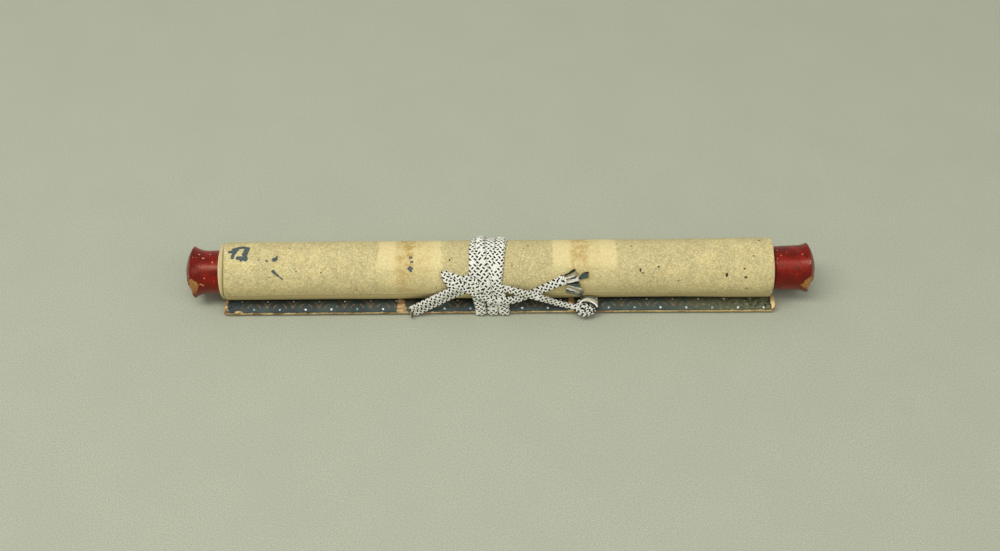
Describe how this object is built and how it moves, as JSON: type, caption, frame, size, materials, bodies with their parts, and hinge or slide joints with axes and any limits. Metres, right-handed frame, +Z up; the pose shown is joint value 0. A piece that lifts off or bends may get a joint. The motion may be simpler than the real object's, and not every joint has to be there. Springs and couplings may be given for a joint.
{
  "type": "rolled hanging scroll",
  "caption": "Rolled paper hanging scroll with lacquered roller knobs, a half-round top stave and a flat braided cord tied round it.",
  "frame": {"origin": "bottom centre of the scroll without its loose cord, on the surface that it lies on", "axes": "+X along the roll towards the end with the knot, +Z up; the stave lies on the -Y side"},
  "size_m": [0.4006, 0.0482, 0.0408],
  "materials": {
    "sheet": "matte",
    "rod_wood": "matte",
    "lacquer": "gloss",
    "stave_wood": "matte",
    "eyelet_wire": "satin",
    "cord": "matte"
  },
  "bodies": {
    "root": {"scroll_sheet": "sheet", "roller_rod": "rod_wood", "left_knob": "lacquer", "right_knob": "lacquer", "top_stave": "stave_wood", "left_eyelet": "eyelet_wire", "right_eyelet": "eyelet_wire", "winding_cord_turns": "cord", "winding_cord_tail": "cord", "hanging_cord_left_arm": "cord", "hanging_cord_right_arm": "cord", "hanging_cord_knot": "cord"}
  },
  "joints": []
}
